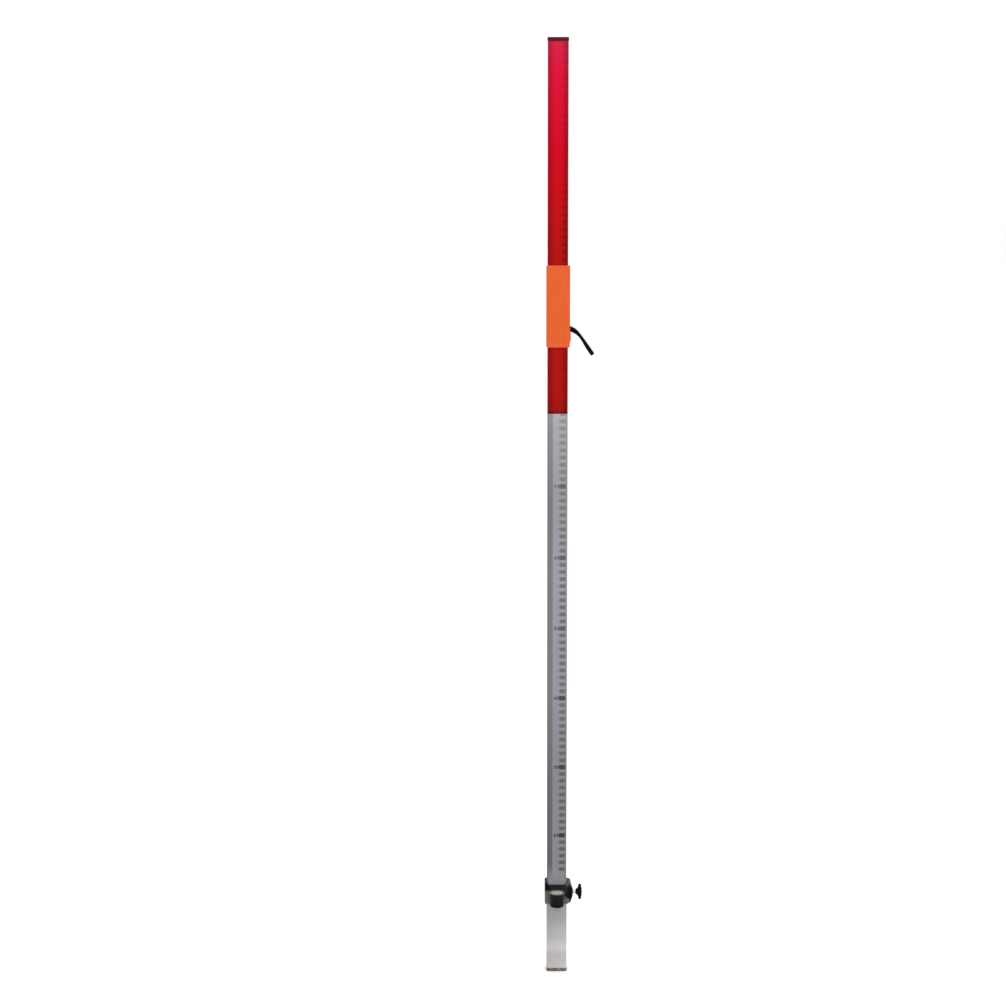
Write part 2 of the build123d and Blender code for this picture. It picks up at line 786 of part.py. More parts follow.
# Carriage shell: front and sides round the staff, sloped at the top, with a thumb pad low on the right
with BuildPart() as carriage_shell:
    with BuildSketch(Plane.XY.offset(carriage_start)) as shell_outline:
        with Locations(((shell_left + shell_right) / 2, (shell_front + back_outer) / 2)):
            Rectangle(shell_right - shell_left, back_outer - shell_front)
        fillet(shell_outline.vertices().group_by(Axis.Y)[0], radius=carriage_corner)
    extrude(amount=carriage_height)
    chamfer(carriage_shell.faces().filter_by(Axis.Z).edges(), length=carriage_edge)
    with BuildSketch(right_plane(shell_right, 0, carriage_start + thumb_pad_low + thumb_pad_height / 2)):
        RectangleRounded(thumb_pad_depth, thumb_pad_height, thumb_pad_corner)
    extrude(amount=thumb_pad_reach, taper=thumb_pad_taper)
    with BuildSketch(front_plane(shell_right, 0, carriage_start)):
        with BuildLine():
            Polyline((0, 0), (-carriage_taper_depth, 0), (0, carriage_taper_height), close=True)
        make_face()
    extrude(amount=2 * back_outer, both=True, mode=Mode.SUBTRACT)
    with BuildSketch(right_plane(0, carriage_front, carriage_top)):
        with BuildLine():
            shell_depth = back_outer - carriage_front
            Polyline((0, 0), (shell_depth, 0), (shell_depth, -carriage_back_drop), close=True)
        make_face()
    extrude(amount=shell_right - shell_left, both=True, mode=Mode.SUBTRACT)
    with BuildSketch(Plane.XY.offset(carriage_start)):
        with Locations(((carriage_left + carriage_right) / 2, carriage_front + back_outer)):
            Rectangle(carriage_right - carriage_left, 2 * back_outer)
    extrude(amount=carriage_height, mode=Mode.SUBTRACT)
    with Locations(*carriage_screw_planes):
        CounterSinkHole(
            radius=shank_hole(fine_shank),
            counter_sink_radius=sink_radius(fine_shank),
            depth=carriage_side_wall,
            counter_sink_angle=sink_angle,
        )
save(carriage_shell.part, "carriage_shell")

# Back plate of the carriage, with a boss for the clamping screw and a pocket for the shoe
with BuildPart() as carriage_back:
    with BuildSketch(Plane.XY.offset(carriage_start + back_margin)):
        with Locations(((carriage_left + carriage_right) / 2, (back_inner + back_outer) / 2)):
            Rectangle(carriage_right - carriage_left - 2 * fit_gap, back_thickness)
    extrude(amount=carriage_height - 2 * back_margin)
    with BuildSketch(back_plane(0, back_outer, hub_z)):
        Circle(boss_diameter / 2)
    extrude(amount=boss_height)
    fillet(carriage_back.faces().sort_by(Axis.Y)[-1].edges(), radius=boss_round)
    with BuildSketch(back_plane(0, back_inner, hub_z)):
        Rectangle(shoe_width + 2 * shoe_side_gap, shoe_height + 2 * shoe_side_gap)
    extrude(amount=shoe_back + shoe_room - back_inner, mode=Mode.SUBTRACT)
    with Locations(back_plane(0, boss_face, hub_z)):
        Hole(radius=nut_diameter / 2 + fit_gap, depth=boss_height + back_thickness)
    plate_sides = [right_plane(carriage_right, carriage_screw_y, z) for z in carriage_screw_heights]
    plate_sides += [left_plane(carriage_left, carriage_screw_y, z) for z in carriage_screw_heights]
    with Locations(*plate_sides):
        Hole(radius=shank_hole(fine_shank), depth=carriage_screw_length - carriage_side_wall)
save(carriage_back.part, "carriage_back")

save(countersunk_screws(fine_shank, carriage_screw_length, carriage_screw_planes), "carriage_screws")

# Slide strips between carriage and staff: four on the rails, one at the right
with BuildPart() as carriage_liners:
    rail_x = (staff_width - rail_width) / 2
    liner_y = (staff_depth + liner_thickness) / 2 + slide_gap
    side_liner = carriage_right_gap - carriage_left_gap
    with BuildSketch(Plane.XY.offset(carriage_start + liner_margin)):
        with GridLocations(2 * rail_x, 2 * liner_y, 2, 2):
            Rectangle(liner_width, liner_thickness)
        with Locations((carriage_right - side_liner / 2, 0)):
            Rectangle(side_liner, side_liner_depth)
    extrude(amount=carriage_height - 2 * liner_margin)
save(carriage_liners.part, "carriage_liners")

# Brass insert in the boss
with BuildPart() as brake_nut:
    with BuildSketch(back_plane(0, boss_face - nut_inset, hub_z)):
        Circle(nut_diameter / 2)
        Circle(stud_diameter / 2 + thread_gap, mode=Mode.SUBTRACT)
    extrude(amount=-brake_nut_length)
save(brake_nut.part, "brake_nut")

# Shoe that the clamping screw pushes towards the staff
with BuildPart() as brake_shoe:
    with BuildSketch(back_plane(0, shoe_front, hub_z)):
        Rectangle(shoe_width, shoe_height)
    extrude(amount=shoe_thickness)
    with Locations(back_plane(0, shoe_back, hub_z)):
        Hole(radius=dog_diameter / 2 + fit_gap, depth=dog_length + fit_gap)
save(brake_shoe.part, "brake_shoe")

# Lining of the shoe, reaching into the staff's back channel
with BuildPart() as brake_lining:
    with BuildSketch(back_plane(0, lining_face, hub_z)):
        Rectangle(shoe_width - 2 * lining_margin, shoe_height - 2 * lining_margin)
    extrude(amount=shoe_front - lining_face)
save(brake_lining.part, "brake_lining")

# Clamping stud, with a dog point that sits in the shoe
with BuildPart() as lever_stud:
    with BuildSketch(back_plane(0, shoe_back + press_gap, hub_z)):
        Circle(stud_diameter / 2)
    extrude(amount=hub_face + stud_bury - shoe_back - press_gap)
    with BuildSketch(back_plane(0, shoe_back + press_gap, hub_z)):
        Circle(dog_diameter / 2)
    extrude(amount=-dog_length)
save(lever_stud.part, "lever_stud")

# Clamping lever: a hub on the stud, and a bent arm down to the right
with BuildPart() as lever_handle:
    with BuildSketch(front_plane(0, lever_front, hub_z)):
        bend_centre = Vector(lever_neck, -lever_bend_radius)
        across = [Vector(0, 1).rotate(Axis.Z, -lever_bend_angle * share) for share in (0, 0.5, 1)]
        along = Vector(1, 0).rotate(Axis.Z, -lever_bend_angle)
        middle = [bend_centre + side * lever_bend_radius for side in across]
        middle += [middle[-1] + along * lever_arm_length * share for share in (0.5, 1)]
        middle.insert(0, Vector(0, 0))
        across = [across[0], *across, across[-1], across[-1]]
        widths = [lever_root_width] * 2
        widths += [lever_bend_width, lever_waist_width, lever_arm_width, lever_tip_width]
        upper = [point + side * width / 2 for point, side, width in zip(middle, across, widths)]
        lower = [point - side * width / 2 for point, side, width in zip(middle, across, widths)]
        with BuildLine():
            Spline(*upper, tangents=(Vector(1, 0), along))
            ThreePointArc(upper[-1], middle[-1] + along * lever_tip_bulge, lower[-1])
            Spline(*lower, tangents=(Vector(1, 0), along))
            Line(lower[0], upper[0])
        make_face()
    extrude(amount=-lever_thickness)
    rims = lever_handle.faces().filter_by(Axis.Y).edges().filter_by(GeomType.LINE, reverse=True)
    fillet(rims, radius=lever_round)
    with BuildSketch(back_plane(0, hub_face, hub_z)):
        Circle(hub_diameter / 2)
    extrude(amount=hub_length)
    fillet(lever_handle.faces().sort_by(Axis.Y)[-1].edges(), radius=hub_round)
    with Locations(front_plane(0, hub_face, hub_z)):
        Hole(radius=stud_diameter / 2 + press_gap, depth=stud_bury + fit_gap)
save(lever_handle.part, "lever_handle")
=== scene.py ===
"""Studio view of the levelling rod: finishes, printed scales, the level's circle, light and camera."""

import json
from math import cos, pi, radians, sin

import bmesh
import bpy
from mathutils import Matrix, Vector


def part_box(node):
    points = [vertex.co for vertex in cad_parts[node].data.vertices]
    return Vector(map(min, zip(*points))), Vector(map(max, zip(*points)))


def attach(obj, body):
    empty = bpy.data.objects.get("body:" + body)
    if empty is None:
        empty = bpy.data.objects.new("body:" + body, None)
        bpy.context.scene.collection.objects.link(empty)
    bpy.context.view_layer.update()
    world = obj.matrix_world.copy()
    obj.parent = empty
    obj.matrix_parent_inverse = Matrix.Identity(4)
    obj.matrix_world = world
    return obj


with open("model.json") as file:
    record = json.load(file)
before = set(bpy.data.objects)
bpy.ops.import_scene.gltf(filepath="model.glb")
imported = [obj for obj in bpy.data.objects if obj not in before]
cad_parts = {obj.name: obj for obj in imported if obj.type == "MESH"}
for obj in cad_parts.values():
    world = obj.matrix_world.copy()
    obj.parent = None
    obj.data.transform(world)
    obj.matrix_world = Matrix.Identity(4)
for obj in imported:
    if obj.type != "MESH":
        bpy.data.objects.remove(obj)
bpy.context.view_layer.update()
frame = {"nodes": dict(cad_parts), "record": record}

nodes = frame["nodes"]
mm = 0.001

# Camera, fitted to the rod's own scale in the photograph
camera_place = Vector((-0.0744, -3.3551, 1.3707))
camera_look_down = radians(11.668)
camera_roll = radians(0.140)
camera_lens = 89.46
camera_far = 100.0
sensor_width = 36.0

# Floor and light: white surroundings, three soft lamps, and what the rod's front receives from them in all
floor_reach = 12.0
floor_segments = 24
floor_white = (0.97, 0.97, 0.97, 1)
surround_white = (1, 1, 1, 1)
surround_strength = 1.05
front_light = 1.34
lamps = [
    {"name": "key", "place": (0.75, -1.7, 2.35), "aim": (0, 0, 1.0), "size": 1.1, "power": 10.0},
    {"name": "fill", "place": (-1.6, -2.2, 1.2), "aim": (0, 0, 0.7), "size": 1.4, "power": 2.5},
    {"name": "overhead", "place": (0, -0.3, 3.2), "aim": (0, -0.3, 0), "size": 2.0, "power": 25.0},
]

# Printed scale: one mark standing on every centimetre line, a bold one with its number on every tenth
mark_step = 10 * mm
mark_height = 5.2 * mm
mark_left = 3.6 * mm
mark_right = 11.3 * mm
red_mark_left = 5.5 * mm
tube_mark_right = 9.6 * mm
major_every = 10
major_height = 6.4 * mm
major_reach = 0.8 * mm
digit_height = 3.2 * mm
number_height = 4.8 * mm
figure_clear = 0.6 * mm
number_clear = 0.2 * mm
figure_gap = 0.14
figure_curve_steps = 3
figure_half_depth = 0.5
digit_weight = 0.02
number_weight = 0.05
ink_thickness = 0.05 * mm
first_mark_clear = 20 * mm
last_mark_clear = 8 * mm

# Circle printed on the level
circle_radius = 3.9 * mm
circle_line = 0.35 * mm
circle_steps = 64

# Painted sheen on the collar's front: its ends, how far back it goes, and its start above the collar's foot
sheen_left = -10.3 * mm
sheen_right = 15 * mm
sheen_back = -8.8 * mm
sheen_start = 14 * mm

# Painted reflection low on the collar's sides: how far from its middle, how high on its sides, and how far
# back
reflection_inner = 10 * mm
reflection_height = 19.4 * mm
reflection_slope_start = 4.2 * mm
reflection_back = 4 * mm

# Painted light on the upper end of the collar's clamp block: its left end, and its amount by depth below the
# collar's top
lit_shoulder_left = 13.2 * mm
lit_shoulder_amounts = [
    (9 * mm, 0.0),
    (6.5 * mm, 0.1),
    (4.5 * mm, 0.3),
    (2 * mm, 0.7),
    (0.6 * mm, 0.7),
    (0.0, 0.35),
]

# Depth of the painted reflection on the top of the level's ring
rim_reflection_depth = 0.5 * mm

# Painted shadow of the level's cup at the top of the boot: half its width, and its height
cup_shadow_half = 5 * mm
cup_shadow_height = 12 * mm

# Edge of the tapes' tint, which lies right of it under the marks, and the edge's soft border
tint_edge = 2.4 * mm
tint_border = 1.2 * mm

# Colour sockets of Blender's Mix node
mix_first, mix_second, mix_result = 6, 7, 2


def linear_channel(value):
    """One display value from 0 to 255 as linear light, by the sRGB curve."""
    if value > 10:
        return ((value / 255 + 0.055) / 1.055) ** 2.4
    return value / 255 / 12.92


def linear(red, green, blue):
    """A colour given as 0 to 255 display values, as the linear values that shaders use."""
    return (linear_channel(red), linear_channel(green), linear_channel(blue), 1)


def shown(red, green, blue):
    """The surface colour that shows as these display values on the rod's front in the studio's light."""
    return tuple(c / front_light for c in linear(red, green, blue)[:3]) + (1,)


class Finish:
    """A material with its shader, and short ways to add nodes to it."""

    def __init__(self, name, **sockets):
        self.material = bpy.data.materials.new(name)
        self.material.use_nodes = True
        self.tree = self.material.node_tree
        self.shader = self.tree.nodes["Principled BSDF"]
        for socket, value in sockets.items():
            self.feed(self.shader.inputs[socket.replace("_", " ")], value)
        coordinates = self.tree.nodes.new("ShaderNodeTexCoord")
        self.place = coordinates.outputs["Object"]
        self.axes = self.node("ShaderNodeSeparateXYZ", Vector=self.place).outputs

    def feed(self, socket, value):
        """Links an output to a socket, or sets a plain value on it."""
        if isinstance(value, bpy.types.NodeSocket):
            self.tree.links.new(value, socket)
        else:
            socket.default_value = value

    def node(self, kind, settings=None, **inputs):
        """A new node, with its settings and what goes into its sockets."""
        made = self.tree.nodes.new(kind)
        for name, value in (settings or {}).items():
            setattr(made, name, value)
        for name, value in inputs.items():
            self.feed(made.inputs[name.replace("_", " ")], value)
        return made

    def noise(self, size, stretch=(1, 1, 1), detail=3.0):
        """Noise with features of about the given size in metres, drawn out along the axes by stretch."""
        scaled = self.node("ShaderNodeMapping", Vector=self.place)
        scaled.inputs["Scale"].default_value = [1 / (size * s) for s in stretch]
        made = self.node("ShaderNodeTexNoise", Vector=scaled.outputs[0], Scale=1.0, Detail=detail)
        return made.outputs["Fac"]

    def spread(self, value, low, high, start=0.0, end=1.0):
        """A value carried from start..end to low..high."""
        made = self.node("ShaderNodeMapRange", Value=value)
        for name, number in (("From Min", start), ("From Max", end), ("To Min", low), ("To Max", high)):
            made.inputs[name].default_value = number
        return made.outputs["Result"]

    def step(self, value, edge, soft):
        """0 below the edge and 1 above it, with a soft border."""
        made = self.node("ShaderNodeMapRange", {"interpolation_type": "SMOOTHSTEP"}, Value=value)
        made.inputs["From Min"].default_value = edge - soft / 2
        made.inputs["From Max"].default_value = edge + soft / 2
        return made.outputs["Result"]

    def math(self, operation, *values):
        """The result of a Math node."""
        made = self.node("ShaderNodeMath", {"operation": operation})
        for socket, value in zip(made.inputs, values):
            self.feed(socket, value)
        return made.outputs[0]

    def remainder(self, amount):
        """What is left of 1 when an amount is taken off."""
        return self.math("SUBTRACT", 1.0, amount)

    def product(self, first, *others):
        """Several amounts multiplied together."""
        for other in others:
            first = self.math("MULTIPLY", first, other)
        return first

    def blend(self, factor, first, second, kind="MIX"):
        """Two colours mixed, or joined in another way that the Mix node knows."""
        made = self.node("ShaderNodeMix", {"data_type": "RGBA", "blend_type": kind})
        self.feed(made.inputs["Factor"], factor)
        self.feed(made.inputs[mix_first], first)
        self.feed(made.inputs[mix_second], second)
        return made.outputs[mix_result]

    def rise(self, stops):
        """Colours along the rod, from stops of (height, colour)."""
        start, end = stops[0][0], stops[-1][0]
        made = self.node("ShaderNodeValToRGB", Fac=self.spread(self.axes["Z"], 0, 1, start, end))
        ramp = made.color_ramp
        while len(ramp.elements) < len(stops):
            ramp.elements.new(0.5)
        for element, (height, colour) in zip(ramp.elements, stops):
            element.position = (height - start) / (end - start)
            element.color = colour
        return made.outputs["Color"]

    def amounts(self, stops):
        """Amounts along the rod, from stops of (height, amount)."""
        greys = self.rise([(height, (amount, amount, amount, 1)) for height, amount in stops])
        return self.node("ShaderNodeRGBToBW", Color=greys).outputs[0]

    def shade(self, colour, *amounts):
        """A colour multiplied by grey amounts."""
        amount = self.product(*amounts)
        grey = self.node("ShaderNodeCombineColor", Red=amount, Green=amount, Blue=amount).outputs[0]
        return self.blend(1.0, colour, grey, "MULTIPLY")

    def bump(self, height, strength, distance):
        """Fine relief in the surface."""
        made = self.node("ShaderNodeBump", Height=height, Strength=strength, Distance=distance)
        self.feed(self.shader.inputs["Normal"], made.outputs["Normal"])

    def set(self, socket, value):
        """Feeds a socket of the shader."""
        self.feed(self.shader.inputs[socket], value)


# Tone of the two tapes along the rod, which the staff behind them shares: their grey and red with painted
# light, mostly lighter towards the top, a painted sheen turning the red pink near its top, and the red
# darker at its lower edge
grey_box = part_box("scale_tape_grey")
red_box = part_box("scale_tape_red")
grey_rows = (grey_box[0][2], grey_box[1][2])
red_rows = (red_box[0][2], red_box[1][2])
grey_stops = [
    (grey_rows[0], shown(146, 145, 155)),
    (0.16, shown(137, 136, 142)),
    (0.3, shown(137, 136, 143)),
    (0.41, shown(150, 149, 160)),
    (0.58, shown(159, 157, 168)),
    (0.68, shown(155, 152, 159)),
    (0.78, shown(169, 168, 175)),
    (grey_rows[1], shown(182, 174, 177)),
]
red_stops = [
    (red_rows[0], shown(88, 6, 10)),
    (red_rows[0] + 1.6 * mm, shown(100, 8, 12)),
    (red_rows[0] + 3.5 * mm, shown(160, 16, 14)),
    (0.83, shown(177, 16, 15)),
    (1.02, shown(181, 16, 14)),
    (1.11, shown(204, 8, 22)),
    (1.16, shown(213, 3, 33)),
    (1.26, shown(222, 17, 58)),
    (red_rows[1], shown(214, 34, 72)),
]


def drawn_lines(finish):
    """Fine lines along the rod, as drawing leaves them in aluminium."""
    return finish.noise(0.25 * mm, stretch=(1, 1, 400), detail=2.0)


def drawn_metal(name, colour, roughness):
    """Aluminium with fine lines along its length and a few cloudy patches."""
    finish = Finish(name, Metallic=0.85)
    lines = drawn_lines(finish)
    clouds = finish.noise(18 * mm, stretch=(1, 1, 3))
    toned = finish.shade(colour, finish.spread(lines, 0.88, 1.12), finish.spread(clouds, 0.94, 1.06))
    finish.set("Base Color", toned)
    finish.set("Roughness", finish.spread(lines, roughness - 0.08, roughness + 0.1))
    finish.bump(lines, strength=0.15, distance=0.02 * mm)
    return finish.material


def staff_finish():
    """Anodised profile with lines along it, painted red in its upper part; below the red, painted shade
    darkens its left half, and its tone along the rod holds the tapes' painted light.
    """
    finish = Finish("staff_finish", Specular_IOR_Level=0.1)
    lines = drawn_lines(finish)
    red = finish.step(finish.axes["Z"], edge=red_rows[0], soft=0.4 * mm)
    # Painted shade: the grey part of the profile darker in its left half than in its right
    side = finish.step(finish.axes["X"], edge=0, soft=4 * mm)
    colour = finish.blend(red, finish.rise(grey_stops), finish.rise(red_stops))
    grey_painted_shade = finish.spread(side, 0.68, 0.94)
    red_amount = 0.6
    change = finish.product(red, finish.math("SUBTRACT", red_amount, grey_painted_shade))
    amount = finish.math("ADD", grey_painted_shade, change)
    finish.set("Base Color", finish.shade(colour, amount, finish.spread(lines, 0.9, 1.1)))
    finish.set("Metallic", finish.spread(red, 0.6, 0.0))
    finish.set("Roughness", finish.spread(lines, 0.36, 0.52))
    finish.bump(lines, strength=0.15, distance=0.02 * mm)
    return finish.material


def tape_finish(name, stops, level, margins, right_tint):
    """Printed tape: tone along the rod, margins of (side, edge, border, losses), mottling and grain."""
    finish = Finish(name, Specular_IOR_Level=level)
    colour = finish.rise(stops)
    tinted = finish.blend(1.0, colour, right_tint, "MULTIPLY")
    colour = finish.blend(finish.step(finish.axes["X"], tint_edge, tint_border), colour, tinted)
    mottling = finish.noise(9 * mm, stretch=(1, 1, 2.5))
    grain = finish.noise(0.5 * mm, detail=2.0)
    amount = finish.product(finish.spread(mottling, 0.95, 1.05), finish.spread(grain, 0.96, 1.04))
    for side, edge, border, losses in margins:
        band = finish.step(finish.math("MULTIPLY", finish.axes["X"], side), edge, border)
        loss = finish.product(band, finish.amounts(losses))
        amount = finish.product(amount, finish.remainder(loss))
    finish.set("Base Color", finish.shade(colour, amount))
    finish.set("Roughness", finish.spread(mottling, 0.36, 0.5))
    finish.bump(grain, strength=0.08, distance=0.03 * mm)
    return finish.material


def moulded(name, colour, roughness, level=0.4, tone=0.07, wear=None):
    """Moulded plastic with a fine grain, slight flow clouds and, where asked for, scuffs or painted light
    laid over its colour.
    """
    finish = Finish(name, Specular_IOR_Level=level)
    fine = finish.noise(0.35 * mm, detail=2.0)
    clouds = finish.noise(14 * mm)
    tinted = finish.shade(colour, finish.spread(clouds, 1 - tone, 1 + tone), finish.spread(fine, 0.95, 1.05))
    # The layer given as wear is painted light on the collar and the ring, real scuffs on the carriage
    if wear:
        tinted = wear(finish, tinted)
    finish.set("Base Color", tinted)
    finish.set("Roughness", finish.spread(fine, roughness - 0.07, roughness + 0.07))
    finish.bump(fine, strength=0.25, distance=0.04 * mm)
    return finish.material


def patchy(finish, size, end):
    """Uneven cover, in patches of about the given size."""
    return finish.spread(finish.noise(size, detail=4.0), 0.6, 1.0, start=0.3, end=end)


def front_tone(finish, colour, foot):
    """Painted sheen on the collar's front, above its foot."""
    from_left = finish.step(finish.axes["X"], sheen_left, soft=1.5 * mm)
    to_right = finish.remainder(finish.step(finish.axes["X"], sheen_right, soft=2 * mm))
    forward = finish.remainder(finish.step(finish.axes["Y"], sheen_back, soft=0.6 * mm))
    above = finish.step(finish.axes["Z"], foot + sheen_start, soft=6 * mm)
    cover = finish.product(from_left, to_right, forward, above, patchy(finish, 2.5 * mm, end=0.6))
    return finish.blend(cover, colour, shown(40, 41, 48))


def side_dust(finish, colour, foot):
    """Olive-grey painted reflection low on the collar's sides: a level edge on the left, a sloping one on
    the right.
    """
    across = finish.math("ABSOLUTE", finish.axes["X"])
    right = finish.math("MAXIMUM", finish.math("SUBTRACT", finish.axes["X"], reflection_slope_start), 0.0)
    level = finish.math("ADD", finish.axes["Z"], right)
    sides = finish.step(across, reflection_inner, soft=2 * mm)
    forward = finish.remainder(finish.step(finish.axes["Y"], reflection_back, soft=12 * mm))
    below = finish.remainder(finish.step(level, foot + reflection_height, soft=4 * mm))
    cover = finish.product(sides, forward, below, patchy(finish, 3 * mm, end=0.55))
    return finish.blend(cover, colour, shown(112, 113, 103))


def shoulder_wear(finish, colour, top):
    """Painted light on the upper end of the collar's clamp block, where light from above falls."""
    right_end = finish.step(finish.axes["X"], lit_shoulder_left, soft=1 * mm)
    upper = finish.amounts([(top - depth, amount) for depth, amount in lit_shoulder_amounts])
    cover = finish.product(right_end, upper, patchy(finish, 2.5 * mm, end=0.6))
    return finish.blend(cover, colour, shown(122, 122, 122))


def collar_wear(finish, colour):
    """The collar's painted sheen on its front, painted reflection low on its sides over it, and painted
    light on its shoulder.
    """
    low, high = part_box("lock_collar")
    colour = front_tone(finish, colour, foot=low[2])
    colour = side_dust(finish, colour, foot=low[2])
    return shoulder_wear(finish, colour, top=high[2])


def pale_rim(finish, colour):
    """Painted reflection on the top face of the level's ring."""
    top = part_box("vial_ring")[1][2]
    cover = finish.step(finish.axes["Z"], top - rim_reflection_depth, soft=0.4 * mm)
    return finish.blend(cover, colour, shown(103, 106, 97))


def slide_scuffs(finish, colour):
    """Faint pale scuffs along the rod, in patches."""
    lines = finish.step(finish.noise(0.5 * mm, stretch=(1, 1, 50)), edge=0.6, soft=0.16)
    patches = finish.spread(finish.noise(11 * mm, stretch=(1, 1, 2)), 0.0, 0.3, start=0.35, end=0.7)
    return finish.blend(finish.product(lines, patches), colour, shown(246, 150, 104))


def turned_metal(name, colour, roughness):
    """Plated or turned small metal parts."""
    finish = Finish(name, Metallic=1.0)
    speckle = finish.noise(0.8 * mm, detail=4.0)
    finish.set("Base Color", finish.shade(colour, finish.spread(speckle, 0.85, 1.1)))
    finish.set("Roughness", finish.spread(speckle, roughness - 0.06, roughness + 0.12))
    return finish.material


def boot_finish():
    """Bright satin aluminium with lines and cloudy patches, and painted shade: darker towards the top under
    the collar, lighter to the right, with a painted shadow of the level's cup.
    """
    low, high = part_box("foot_boot")
    finish = Finish("boot_finish", Metallic=0.7)
    lines = finish.noise(0.3 * mm, stretch=(1, 1, 120), detail=2.0)
    clouds = finish.noise(9 * mm, stretch=(1, 1, 1.4), detail=4.0)
    # Tone along the boot's height: painted light and shade, darkest at the top under the collar
    stops = [
        (low[2], shown(210, 204, 201)),
        (low[2] + 10 * mm, shown(202, 197, 195)),
        (low[2] + 20 * mm, shown(194, 190, 191)),
        (low[2] + 32 * mm, shown(211, 206, 211)),
        (low[2] + 44 * mm, shown(190, 188, 191)),
        (low[2] + 56 * mm, shown(185, 184, 187)),
        (low[2] + 69 * mm, shown(170, 170, 172)),
        (high[2], shown(158, 158, 159)),
    ]
    # Painted light: the boot lighter towards its right
    across = finish.spread(finish.axes["X"], 0.93, 1.06, start=low[0], end=high[0])
    # Painted shadow of the level's cup, in the middle near the boot's top
    off_middle = finish.step(finish.math("ABSOLUTE", finish.axes["X"]), cup_shadow_half, soft=8 * mm)
    near_top = finish.step(finish.axes["Z"], high[2] - cup_shadow_height, soft=12 * mm)
    cup_shadow = finish.product(finish.remainder(off_middle), near_top)
    colour = finish.shade(finish.rise(stops), across, finish.spread(cup_shadow, 1.0, 0.88),
                          finish.spread(lines, 0.94, 1.06), finish.spread(clouds, 0.9, 1.1))
    finish.set("Base Color", colour)
    finish.set("Roughness", finish.spread(clouds, 0.36, 0.56))
    finish.bump(lines, strength=0.12, distance=0.02 * mm)
    return finish.material


def base_finish():
    """Dark coated plate, worn through in patches."""
    finish = Finish("base_finish", Metallic=0.3)
    wear = finish.noise(5 * mm, detail=5.0)
    worn = finish.step(wear, edge=0.52, soft=0.14)
    finish.set("Base Color", finish.blend(worn, shown(95, 90, 90), shown(140, 133, 132)))
    finish.set("Roughness", finish.spread(wear, 0.4, 0.65))
    finish.bump(wear, strength=0.2, distance=0.05 * mm)
    return finish.material


def clear_finish(name, colour, index, through):
    """Clear acrylic or cloudy fluid, with a trace of haze."""
    finish = Finish(name, Transmission_Weight=through, IOR=index)
    haze = finish.noise(2 * mm)
    finish.set("Base Color", finish.shade(colour, finish.spread(haze, 0.97, 1.0)))
    finish.set("Roughness", finish.spread(haze, 0.0, 0.05))
    return finish.material


def printed_ink(name, stops):
    """Printed ink, slightly uneven, with its tone along the rod."""
    finish = Finish(name, Specular_IOR_Level=0.2)
    cover = finish.noise(1.2 * mm, detail=4.0)
    finish.set("Base Color", finish.shade(finish.rise(stops), finish.spread(cover, 0.88, 1.1)))
    finish.set("Roughness", finish.spread(cover, 0.4, 0.6))
    return finish.material


# Darker margins of the tapes, and how much of their light is lost there along the rod
grey_losses = [
    (0.135, 0.0),
    (0.16, 0.53),
    (0.24, 0.48),
    (0.31, 0.41),
    (0.41, 0.35),
    (0.5, 0.4),
    (0.67, 0.42),
    (0.74, 0.36),
]
red_left_losses = [(red_rows[0], 0.48), (red_rows[1], 0.36)]
red_right_losses = [
    (red_rows[0], 0.43),
    (1.03, 0.39),
    (1.08, 0.37),
    (1.13, 0.42),
    (1.18, 0.4),
    (1.26, 0.33),
]
left_side, right_side = -1, 1
grey_margins = [(left_side, 6.2 * mm, 2 * mm, grey_losses)]
red_margins = [
    (left_side, 8 * mm, 12 * mm, red_left_losses),
    (right_side, 8 * mm, 7 * mm, red_right_losses),
]

# How much the tapes reflect, their tints under the marks, and the colours of the plastics
grey_level = 0.2
red_level = 0.04
grey_tint = (0.98, 0.98, 0.92, 1)
red_tint = (0.98, 1.0, 1.0, 1)
black = shown(6, 6, 7)
cup_black = shown(22, 22, 22)
orange = shown(232, 97, 41)
cap_red = shown(90, 21, 35)

# Finishes by the record's material slots, and by node where one slot has two looks
slot_finishes = {
    "profile_aluminium": drawn_metal("profile_finish", linear(176, 176, 180), roughness=0.38),
    "boot_aluminium": boot_finish(),
    "base_coating": base_finish(),
    "steel": turned_metal("steel_finish", linear(190, 190, 188), roughness=0.3),
    "brass": turned_metal("brass_finish", linear(201, 168, 96), roughness=0.3),
    "pale_plastic": moulded("pale_plastic_finish", linear(214, 212, 204), roughness=0.45),
    "grey_tape": tape_finish("grey_tape_finish", grey_stops, grey_level, grey_margins, grey_tint),
    "red_tape": tape_finish("red_tape_finish", red_stops, red_level, red_margins, red_tint),
    "black_plastic": moulded("black_plastic_finish", black, roughness=0.42, level=0.06, tone=0.2),
    "orange_plastic": moulded("orange_plastic_finish", orange, roughness=0.48, level=0.12,
                              wear=slide_scuffs),
    "clear_vial": clear_finish("clear_vial_finish", linear(232, 236, 228), index=1.49, through=0.55),
    "vial_liquid": clear_finish("vial_liquid_finish", linear(226, 230, 214), index=1.36, through=0.15),
    "white_plastic": moulded("white_plastic_finish", linear(232, 232, 228), roughness=0.5),
    "black_rubber": moulded("black_rubber_finish", linear(34, 34, 34), roughness=0.7, level=0.25),
}
node_finishes = {
    "staff_profile": staff_finish(),
    "lock_collar": moulded("collar_finish", black, roughness=0.42, level=0.06, tone=0.2, wear=collar_wear),
    "vial_cup": moulded("cup_finish", cup_black, roughness=0.42, level=0.05, tone=0.2),
    "vial_ring": moulded("ring_finish", cup_black, roughness=0.42, level=0.08, tone=0.2, wear=pale_rim),
    "top_cap": moulded("cap_finish", cap_red, roughness=0.45, level=0.06, tone=0.15),
}
for part in frame["record"]["subparts"]:
    material = node_finishes.get(part["node"], slot_finishes[part["material_slot"]])
    mesh = nodes[part["node"]].data
    mesh.materials.clear()
    mesh.materials.append(material)


